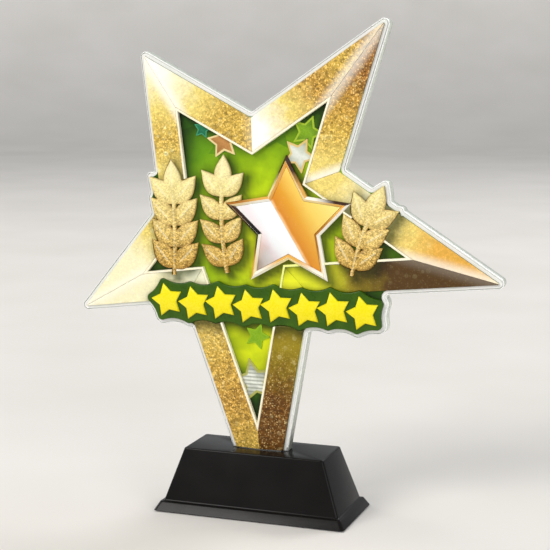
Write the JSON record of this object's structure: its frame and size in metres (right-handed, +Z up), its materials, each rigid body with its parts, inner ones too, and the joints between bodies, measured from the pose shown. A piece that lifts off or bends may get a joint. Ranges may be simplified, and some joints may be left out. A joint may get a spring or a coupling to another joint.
{
  "type": "star trophy",
  "caption": "Irregular five-pointed star of clear acrylic with an inlaid gold frame, laurel sprigs and a star banner, standing in the slot of a black weighted plastic base.",
  "frame": {"origin": "middle of the foot pad's underside, where the trophy rests on the table", "axes": "+Z up, the decorated face looks along -Y, +X is to the right of someone looking at that face"},
  "size_m": [0.1743, 0.0376, 0.1952],
  "materials": {
    "clear_acrylic": "clear cast acrylic with polished edges",
    "white_film": "opaque white film under gloss",
    "green_foil": "printed foil card, dark green at the corners and lime in the middle",
    "glitter_gold": "gold glitter under a clear gloss coat",
    "cream_trim": "glossy cream",
    "sprig_gold": "pale grained gold under gloss",
    "rim_gold": "metallised gold, bevelled",
    "polished_silver": "metallised silver, polished",
    "polished_gold": "metallised orange gold, polished",
    "banner_green": "dark green gloss",
    "banner_yellow": "bright yellow gloss",
    "accent_copper": "copper foil",
    "accent_teal": "teal foil",
    "accent_lime": "lime foil",
    "accent_silver": "brushed silver foil",
    "accent_green": "green foil",
    "base_black": "moulded black plastic, semi-gloss",
    "cover_black": "moulded black plastic, matt",
    "steel": "zinc-plated steel",
    "tape": "double-sided foam tape",
    "adhesive": "cured clear adhesive",
    "foam": "black foam rubber pad"
  },
  "bodies": {
    "root": {"star_plaque": "clear_acrylic", "white_film": "white_film", "green_foil": "green_foil", "frame_bar_1": "glitter_gold", "frame_bar_2": "glitter_gold", "frame_bar_3": "glitter_gold", "frame_bar_4": "glitter_gold", "frame_bar_5": "glitter_gold", "frame_bar_6": "glitter_gold", "frame_bar_7": "glitter_gold", "frame_bar_8": "glitter_gold", "frame_bar_9": "glitter_gold", "frame_bar_10": "glitter_gold", "inner_trim": "cream_trim", "sprig_left": "sprig_gold", "sprig_middle": "sprig_gold", "sprig_right": "sprig_gold", "centre_star_rim": "rim_gold", "centre_face_silver": "polished_silver", "centre_face_gold": "polished_gold", "banner_plate": "banner_green", "banner_star_1": "banner_yellow", "banner_star_2": "banner_yellow", "banner_star_3": "banner_yellow", "banner_star_4": "banner_yellow", "banner_star_5": "banner_yellow", "banner_star_6": "banner_yellow", "banner_star_7": "banner_yellow", "banner_star_8": "banner_yellow", "accent_copper": "accent_copper", "accent_teal": "accent_teal", "accent_lime": "accent_lime", "accent_silver_top": "accent_silver", "accent_silver_low": "accent_silver", "accent_green": "accent_green", "base_shell": "base_black", "bottom_cover": "cover_black", "cover_screws": "steel", "ballast_plate": "steel", "ballast_tape": "tape", "slot_adhesive": "adhesive", "foot_pad": "foam"}
  },
  "joints": []
}
